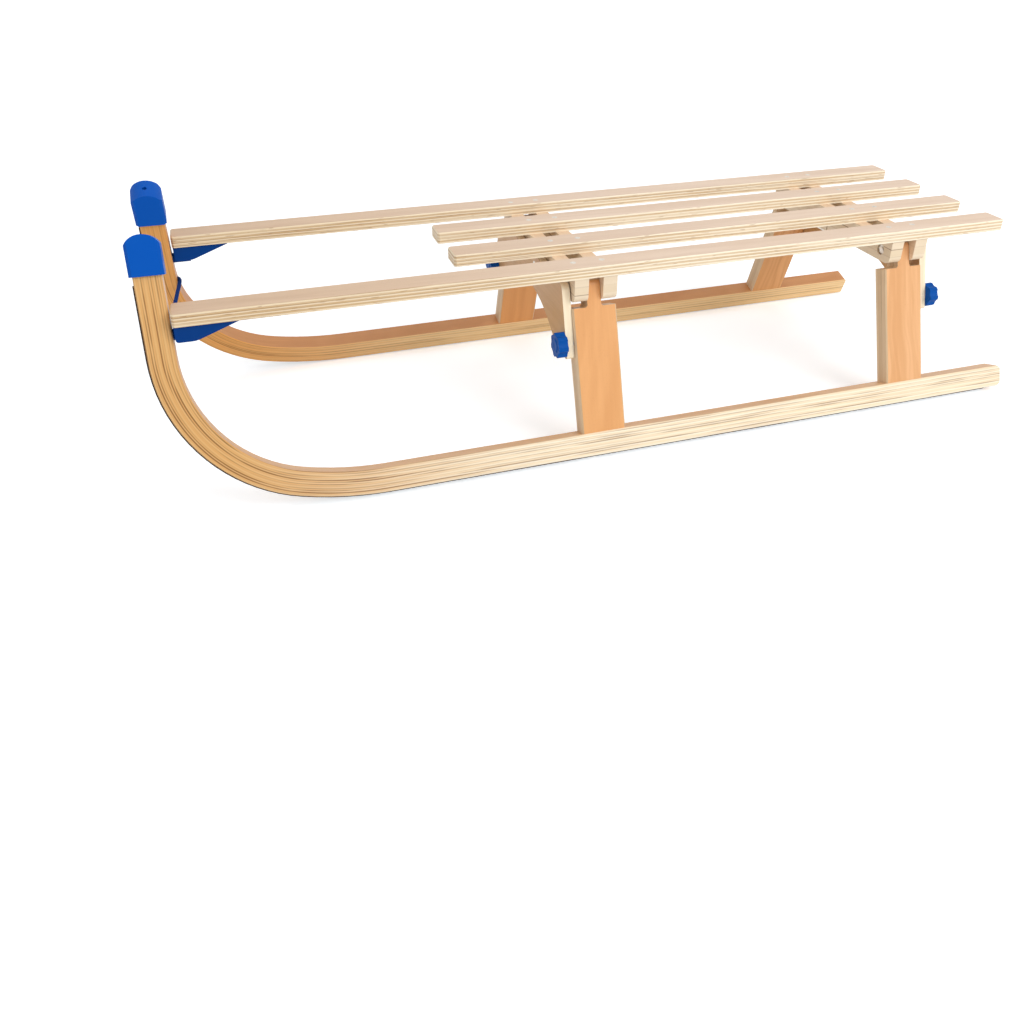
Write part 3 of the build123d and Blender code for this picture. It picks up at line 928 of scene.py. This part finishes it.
def place_copies(
    name: str, shape: BMesh, places: Iterable[Matrix], smooth: bool = False
) -> Object:
    """One mesh object holding a copy of a shape at each place.

    Args:
        name: the new object's name.
        shape: what is repeated; it is freed.
        places: where each copy goes, in the sled's frame.
        smooth: whether its faces are shaded smooth.

    Returns:
        The object, at the origin.
    """
    single = bpy.data.meshes.new(name + "_single")
    shape.to_mesh(single)
    shape.free()
    whole = bmesh.new()
    for place in places:
        before = len(whole.verts)
        whole.from_mesh(single)
        whole.verts.ensure_lookup_table()
        bmesh.ops.transform(whole, matrix=place, verts=whole.verts[before:])
    mesh = bpy.data.meshes.new(name)
    whole.to_mesh(mesh)
    whole.free()
    bpy.data.meshes.remove(single)
    return show(mesh, smooth=smooth)


def facing(point: Iterable[float], outward: Iterable[float], turn: float = 0.0) -> Matrix:
    """A place whose own Z points outward.

    Args:
        point: where its origin goes.
        outward: the direction of its Z.
        turn: radians about that Z.

    Returns:
        The place's matrix.
    """
    lean = Vector(UP).rotation_difference(Vector(outward).normalized()).to_matrix().to_4x4()
    return Matrix.Translation(point) @ lean @ Matrix.Rotation(turn, 4, "Z")


def settle(piece: Object, body: str, material: Material) -> None:
    """Finish a new piece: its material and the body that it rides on.

    Args:
        piece: the new object.
        body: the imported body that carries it.
        material: what it is made of.
    """
    piece.data.materials.append(material)
    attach(piece, body)
    LOG.info("%s rides on %s", piece.name, body)


def middle_x(node: str) -> float:
    """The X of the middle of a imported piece."""
    low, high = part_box(node)
    return (low.x + high.x) / 2


def corner(node: str) -> Axis3:
    """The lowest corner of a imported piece's box."""
    return tuple(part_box(node)[0])


# Sub-assemblies


@dataclass
class SlatSeat:
    """The four seat slats on their crossbars, with the screws that hold them."""

    zinc: Material
    screw: ScrewHead = ScrewHead(0.0036, 0.0003)
    screw_ahead: float = 0.0045
    long_y: float = 0.1110
    short_y: float = 0.0385
    top: float = 0.210
    turn_by_x: float = 41.0
    turn_by_y: float = 7.0

    def dress(self) -> None:
        """Finish the slats and the battens below them."""
        for number, side in enumerate(Side):
            for order, kind in enumerate(("long", "short")):
                node = f"{side}_{kind}_slat"
                axes = straight(AHEAD, UP, corner(node))
                dress(node, SLAT_WOOD.material(node, axes, seed_at(SLAT_SEEDS, number, order)))
            for order, end in enumerate(ENDS):
                for step, row in enumerate(ROWS):
                    node = f"{side}_{end}_crossbar_{row}_batten"
                    axes = straight(LEFTWARD, UP, corner(node))
                    seed = seed_at(BATTEN_SEEDS, number, order, step)
                    dress(node, BATTEN_WOOD.material(node, axes, seed))

    def build(self) -> None:
        """Set a pair of screws where each slat crosses each crossbar."""
        for side in Side:
            battens = [f"{side}_{end}_crossbar_{row}_batten" for end in ENDS for row in ROWS]
            places = []
            for y in (self.long_y, self.short_y):
                for batten in battens:
                    x = middle_x(batten) + self.screw_ahead
                    turn = self.turn_by_x * x + self.turn_by_y * y
                    places.append(facing((x, side.value * y, self.top), UP, turn))
            piece = place_copies(f"{side}_slat_screws", self.screw.shape(), places)
            settle(piece, f"{side}_half", self.zinc)


@dataclass
class LegFrames:
    """Each side's runner, sole strip, cap and legs, with the strip's screws."""

    zinc: Material
    plastic: Material
    screw: ScrewHead = ScrewHead(0.0038, 0.0003)
    strip_thickness: float = 0.0016
    half_width: float = 0.010
    screw_x: tuple[float, ...] = (0.045, 0.215, 0.385, 0.555, 0.725)
    curl_turns: tuple[float, ...] = (30.0, 62.0)
    turn_by_x: float = 2.0

    def woods(self, side: Side) -> tuple[WoodFinish, WoodFinish, WoodFinish]:
        """The runner's, front leg's and rear leg's woods; the far side's are toned darker and redder, partly
        as painted shade.
        """
        if side is Side.LEFT:
            return RUNNER_WOOD, LEG_WOOD, FLOWING_LEG_WOOD
        # The far side's pieces are toned darker and redder: partly the boards' own colour, partly painted
        # shade.
        runner = replace(RUNNER_WOOD.toned(face=(0.84, 0.65, 0.49), edge=(1.02, 0.83, 0.58)), line=0.75)
        front = LEG_WOOD.toned(face=(1.04, 0.96, 0.84))
        rear = FLOWING_LEG_WOOD.toned(face=(1.0, 0.90, 0.72))
        return runner, front, rear

    def dress(self) -> None:
        """Finish the runners, strips, caps and legs."""
        origin_z = BEND.sole_z - self.half_width * SINE
        for number, side in enumerate(Side):
            up = (0.0, -side.value * SINE, COSINE)
            out = (0.0, side.value * COSINE, SINE)
            origin = (0.0, side.value * (BEND.sole_y - self.half_width * COSINE), origin_z)
            runner = f"{side}_runner"
            runner_wood, *leg_woods = self.woods(side)
            dress(runner, runner_wood.material(runner, bent(side), seed_at(RUNNER_SEEDS, number)))
            dress(f"{side}_sole_strip", GALVANISED.material(bent(side)))
            dress(f"{side}_curl_cap", self.plastic)
            for order, (end, wood) in enumerate(zip(ENDS, leg_woods)):
                leg = f"{side}_{end}_leg"
                dress(leg, wood.material(leg, straight(up, out, origin), seed_at(LEG_SEEDS, number, order)))

    def strip_place(self, side: Side, along: float, turn: float) -> Matrix:
        """A place on the strip's outer face.

        Args:
            side: which runner.
            along: distance from the rear on the straight sole, unused where turn is above zero.
            turn: the bend's angle in radians, from the curl's start.

        Returns:
            The place, facing away from the wood.
        """
        if turn > 0:
            centre = BEND.curl_centre
            reach = BEND.curl_radius + self.strip_thickness
            x = centre[0] + reach * math.sin(turn)
            up = centre[1] - reach * math.cos(turn)
        else:
            x, up = along, -self.strip_thickness
        point = (REAR_END + x, side.value * (BEND.sole_y - up * SINE), BEND.sole_z + up * COSINE)
        down = Vector((0.0, side.value * SINE, -COSINE))
        outward = down * math.cos(turn) + Vector(AHEAD) * math.sin(turn)
        return facing(point, outward, self.turn_by_x * x)

    def build(self) -> None:
        """Set the screws along each strip."""
        for side in Side:
            places = [self.strip_place(side, x, 0.0) for x in self.screw_x]
            places += [self.strip_place(side, 0.0, math.radians(turn)) for turn in self.curl_turns]
            piece = place_copies(f"{side}_strip_screws", self.screw.shape(), places)
            settle(piece, f"{side}_frame", self.zinc)


@dataclass
class Fittings:
    """Pivot bolts, front brackets and centre hinges, with the hinge screws."""

    zinc: Material
    bracket_plastic: Material
    hinge_screw: ScrewHead = ScrewHead(0.0026, 0.0002)
    leaf_bottom: float = 0.1674
    screw_x: tuple[float, float] = (0.6 * 0.0165, 0.0165)
    screw_y: tuple[float, float] = (0.0095, 0.0185)
    turn_by_y: float = 40.0
    bracket_screw: ScrewHead = ScrewHead(0.0034, 0.0003)
    bracket_spot: Axis3 = (0.4265, 0.1135, 0.18885)
    bracket_slope: Axis3 = (-0.354, 0.0, -0.935)
    bracket_turn: float = 0.6
    bolt_radius: float = 0.003
    bolt_end: float = 0.0014
    bolt_tip: float = 0.78
    thread_pitch: float = 0.0005
    thread_depth: float = 0.6

    def dress(self) -> None:
        """Finish the metal fittings and the front brackets."""
        for side in Side:
            dress(f"{side}_front_bracket", self.bracket_plastic)
            dress(f"{side}_front_pin", self.zinc)
            for end in ENDS:
                dress(f"{side}_{end}_pivot_bolt", self.zinc)
                dress(f"{side}_{end}_hinge_leaf", self.zinc)
        for end in ENDS:
            dress(f"{end}_hinge_pin", self.zinc)

    def bolt_ends(self, side: Side) -> Object:
        """Let each bolt's threaded end stand out of its nut.

        Args:
            side: whose bolts.

        Returns:
            The ends, as one object.
        """
        radius, pitch = self.bolt_radius, self.thread_pitch
        root = radius - self.thread_depth * pitch
        profile = [(0.0, self.bolt_end), (self.bolt_tip * radius, self.bolt_end)]
        for turn in range(int(self.bolt_end / pitch) + 1):
            height = self.bolt_end - (turn + 0.5) * pitch
            profile += [(radius, height), (root, height - pitch / 2)]
        places = []
        for end, outward in zip(ENDS, (-1, 1)):
            low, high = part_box(f"{side}_{end}_pivot_bolt")
            face = high.x if outward > 0 else low.x
            middle = (low + high) / 2
            places.append(facing((face, middle.y, middle.z), (outward, 0, 0)))
        return place_copies(f"{side}_bolt_ends", turned(profile), places)

    def bracket_screws(self, side: Side) -> Object:
        """Set the screw in the slope of a front bracket.

        Args:
            side: whose bracket.

        Returns:
            The screw.
        """
        x, y, z = self.bracket_spot
        place = facing((x, side.value * y, z), self.bracket_slope, self.bracket_turn)
        return place_copies(f"{side}_bracket_screw", self.bracket_screw.shape(), [place])

    def hinge_screws(self, side: Side) -> Object:
        """Set four screws in each hinge leaf.

        Args:
            side: whose leaves.

        Returns:
            The screws, as one object.
        """
        places = []
        for end in ENDS:
            x = middle_x(f"{side}_{end}_hinge_leaf")
            for reach, y in zip(self.screw_x, self.screw_y):
                for step in (-1, 1):
                    spot = (x + step * reach, side.value * y, self.leaf_bottom)
                    places.append(facing(spot, (0, 0, -1), x + y * step * self.turn_by_y))
        return place_copies(f"{side}_hinge_screws", self.hinge_screw.shape(), places)

    def build(self) -> None:
        """Finish the bolts, brackets and hinges of both sides."""
        for side in Side:
            for make in (self.bolt_ends, self.bracket_screws, self.hinge_screws):
                settle(make(side), f"{side}_half", self.zinc)


@dataclass
class BridgeBoards:
    """The two arched boards with their discs and star knobs."""

    zinc: Material
    plastic: Material
    knob_reach: float = 0.01388
    crown_radius: float = 0.0080
    crown_rise: float = 0.0007
    crown_steps: int = 32
    crown_shares: tuple[tuple[float, float], ...] = (
        (0.0, 0.55),
        (0.35, 0.6),
        (0.62, 0.95),
        (0.80, 1.0),
        (0.93, 0.75),
        (1.0, 0.0),
        (1.0, -0.5),
    )
    bush_radius: float = 0.004025
    bush_wall: float = 0.0004
    bush_steps: int = 48
    bush_short: float = 0.0001

    def dress(self) -> None:
        """Finish both boards and what they carry."""
        for number, end in enumerate(ENDS):
            node = f"{end}_bridge_board"
            axes = straight(LEFTWARD, AHEAD, corner(node))
            dress(node, BOARD_WOOD.material(node, axes, seed_at(BOARD_SEEDS, number)))
            dress(f"{end}_board_rivets", self.zinc)
            for side in Side:
                dress(f"{end}_{side}_knob", self.plastic)

    def stud_spot(self, end: str, side: Side, x: float) -> Vector:
        """The point on a knob stud's axis at this X; one lobe of each knob points to +Y."""
        low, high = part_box(f"{end}_{side}_knob")
        return Vector((x, high.y - self.knob_reach, (low.z + high.z) / 2))

    def crowns(self, end: str, outward: int) -> None:
        """Raise a round crown on the face of each of a board's star knobs.

        Args:
            end: which board, front or rear.
            outward: 1 where the knobs face ahead, -1 where they face back.
        """
        profile = [(share * self.crown_radius, rise * self.crown_rise) for share, rise in self.crown_shares]
        places = []
        for side in Side:
            low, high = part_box(f"{end}_{side}_knob")
            face = high.x if outward > 0 else low.x
            places.append(facing(self.stud_spot(end, side, face), (outward, 0, 0)))
        crown = turned(profile, self.crown_steps)
        piece = place_copies(f"{end}_knob_crowns", crown, places, smooth=True)
        settle(piece, f"{end}_board", self.plastic)

    def bushes(self, end: str) -> None:
        """Line a board's two stud holes with thin wooden bushes.

        Args:
            end: which board, front or rear.
        """
        low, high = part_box(f"{end}_bridge_board")
        half = (high.x - low.x) / 2 - self.bush_short
        outer, inner = self.bush_radius, self.bush_radius - self.bush_wall
        profile = [(outer, half), (outer, -half), (inner, -half), (inner, half), (outer, half)]
        spots = [self.stud_spot(end, side, (low.x + high.x) / 2) for side in Side]
        wood = BOARD_WOOD.material(f"{end}_stud_bushes", straight(LEFTWARD, AHEAD, tuple(low)), BUSH_SEED)
        bush = turned(profile, self.bush_steps)
        piece = place_copies(f"{end}_stud_bushes", bush, [facing(spot, AHEAD) for spot in spots])
        settle(piece, f"{end}_board", wood)

    def build(self) -> None:
        """Crown the knobs and line the stud holes."""
        for end, outward in zip(ENDS, (1, -1)):
            self.crowns(end, outward)
            self.bushes(end)


def baked(name: str, data: Curve) -> Mesh:
    """The mesh that a curve makes; the curve is removed.

    Args:
        name: a name for the object that holds the curve meanwhile.
        data: the curve.

    Returns:
        Its mesh.
    """
    holder = bpy.data.objects.new(name, data)
    mesh = bpy.data.meshes.new_from_object(holder)
    bpy.data.objects.remove(holder)
    bpy.data.curves.remove(data)
    return mesh


@dataclass
class FrontCord:
    """The braided cord drawn taut between the two curls, below the seat."""

    route: tuple[Axis3, ...] = (
        (0.4890, 0.1170, 0.1520),
        (0.4876, 0.1020, 0.1520),
        (0.4805, 0.0320, 0.1520),
        (0.4745, -0.0420, 0.1520),
        (0.4698, -0.0960, 0.1520),
        (0.4682, -0.1150, 0.1520),
        (0.4706, -0.1235, 0.1519),
        (0.4755, -0.1255, 0.1517),
    )
    route_steps: int = 24
    route_order: int = 3
    strands: int = 6
    radius: float = 0.0023
    strand_radius: float = 0.00105
    twist_length: float = 0.016
    kept: float = 0.06

    def centre_line(self) -> list[Vector]:
        """Evenly spaced points along the route's smooth line."""
        data = bpy.data.curves.new("front_cord_route", "CURVE")
        data.dimensions = "3D"
        data.resolution_u = self.route_steps
        spline = data.splines.new("NURBS")
        spline.points.add(len(self.route) - 1)
        for point, place in zip(spline.points, self.route):
            point.co = (*place, 1.0)
        spline.order_u = self.route_order
        spline.use_endpoint_u = True
        mesh = baked("front_cord_route", data)
        line = [v.co.copy() for v in mesh.vertices]
        bpy.data.meshes.remove(mesh)
        return line

    def build(self, braid: Material) -> None:
        """Lay the strands round the line and hang the cord on the left frame.

        Args:
            braid: the cord's material.
        """
        line = self.centre_line()
        data = bpy.data.curves.new("front_cord_strands", "CURVE")
        data.dimensions, data.bevel_depth, data.bevel_resolution = "3D", self.strand_radius, 1
        data.use_fill_caps = True
        lay = self.radius - self.strand_radius
        runs = [(b - a).length for a, b in zip(line, line[1:])]
        for strand in range(self.strands):
            spline = data.splines.new("POLY")
            spline.points.add(len(line) - 1)
            gone = 0.0
            for number, point in enumerate(line):
                ahead = line[min(number + 1, len(line) - 1)] - line[max(number - 1, 0)]
                side = ahead.cross(Vector(UP)).normalized()
                up = side.cross(ahead).normalized()
                turn = 2 * math.pi * (strand / self.strands + gone / self.twist_length)
                place = point + lay * (math.cos(turn) * side + math.sin(turn) * up)
                spline.points[number].co = (*place, 1.0)
                if number < len(runs):
                    gone += runs[number]
        mesh = baked("front_cord_strands", data)
        mesh.materials.clear()
        mesh.name = "front_cord"
        piece = show(mesh, smooth=True)
        settle(piece, "left_frame", braid)
        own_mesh(piece)


# Studio

WHITE = (1.0, 1.0, 1.0)


@dataclass
class Studio:
    """A pale floor, soft lamps and the camera at the photograph's angle."""

    camera_place: Axis3 = (0.40607, 0.98963, 0.56618)
    yaw: float = math.radians(18.3817)
    pitch: float = math.radians(30.2688)
    roll: float = math.radians(0.4364)
    lens: float = 32.785
    sensor: float = 36.0
    shift: tuple[float, float] = (-0.01301, -0.09042)
    clip: tuple[float, float] = (0.05, 40.0)
    floor_half: float = 8.0
    floor_z: float = -0.0004
    floor_colour: Colour = (0.88, 0.905, 0.93)
    floor_glow: tuple[float, float] = (0.40, 0.9)
    glow_from: tuple[float, float] = (0.7, 2.4)
    world_light: float = 0.48
    aim: Axis3 = (0.0, 0.0, 0.12)
    lamps: tuple[tuple[str, Axis3, float, float], ...] = (
        ("key_lamp", (-1.3, 2.0, 1.8), 1.8, 45.0),
        ("fill_lamp", (1.8, 1.2, 1.4), 1.4, 6.0),
        ("top_lamp", (0.0, -0.3, 2.4), 2.0, 12.0),
    )

    def camera(self) -> None:
        """Set the camera."""
        data = bpy.data.cameras.new("photo_camera")
        data.lens, data.sensor_width = self.lens, self.sensor
        data.shift_x, data.shift_y = self.shift
        data.clip_start, data.clip_end = self.clip
        flat = -math.cos(self.pitch)
        look = Vector((math.sin(self.yaw) * flat, math.cos(self.yaw) * flat, -math.sin(self.pitch)))
        level = look.cross(Vector(UP)).normalized()
        above = level.cross(look)
        right = level * math.cos(self.roll) + above * math.sin(self.roll)
        up = above * math.cos(self.roll) - level * math.sin(self.roll)
        turn = Matrix((right, up, -look)).transposed().to_4x4()
        bpy.context.scene.camera = show(data, Matrix.Translation(self.camera_place) @ turn)

    def lamp(self, name: str, place: Axis3, size: float, power: float) -> None:
        """Hang a soft square lamp aimed at the sled.

        Args:
            name: the lamp's name.
            place: where it hangs.
            size: its side.
            power: in watts.
        """
        data = bpy.data.lights.new(name, "AREA")
        data.shape, data.size, data.energy = "SQUARE", size, power
        way = Vector(self.aim) - Vector(place)
        show(data, Matrix.Translation(place) @ way.to_track_quat("-Z", "Y").to_matrix().to_4x4())

    def floor(self) -> None:
        """Lay a pale floor that keeps the sled's shadow."""
        bm = bmesh.new()
        bmesh.ops.create_grid(bm, x_segments=1, y_segments=1, size=self.floor_half)
        mesh = bpy.data.meshes.new("floor")
        bm.to_mesh(mesh)
        bm.free()
        made = show(mesh)
        made.location.z = self.floor_z
        material, g, shader, spot = fresh_material("pale_floor", self.floor_colour)
        glow = g.span(g.vector("LENGTH", spot["Point"]), *self.glow_from, *self.floor_glow)
        looks = {
            "Base Color": self.floor_colour,
            "Roughness": 0.7,
            "Specular IOR Level": 0.1,
            "Emission Color": WHITE,
            "Emission Strength": g.times(g.seen_directly(), glow),
        }
        g.feed(shader, looks)
        mesh.materials.append(material)

    def world(self) -> None:
        """Light the sled evenly from all round, and show white behind it."""
        world = bpy.data.worlds.new("studio_white")
        world.use_nodes = True
        bpy.context.scene.world = world
        g = Graph(world.node_tree)
        strength = g.at_least(self.world_light, g.seen_directly())
        g.feed(world.node_tree.nodes["Background"], {"Color": WHITE, "Strength": strength})

    def build(self) -> None:
        """Set up the camera, floor, lamps, world and view."""
        self.camera()
        self.floor()
        for lamp in self.lamps:
            self.lamp(*lamp)
        self.world()
        bpy.context.scene.view_settings.view_transform = "Standard"


def main() -> None:
    """Build the studio and dress the sled, in order."""
    logging.basicConfig(level=logging.INFO, format="%(name)s: %(message)s")
    Studio().build()
    zinc = ZINC.material()
    parts = (
        SlatSeat(zinc),
        LegFrames(zinc, BLUE_PLASTIC.material()),
        Fittings(zinc, DEEP_BLUE_PLASTIC.material()),
        BridgeBoards(zinc, KNOB_BLUE_PLASTIC.material()),
    )
    for part in parts:
        part.dress()
        LOG.info("%s dressed", type(part).__name__)
    for part in parts:
        part.build()
    FrontCord().build(BLUE_BRAID.material())


if __name__ == "__main__":
    main()
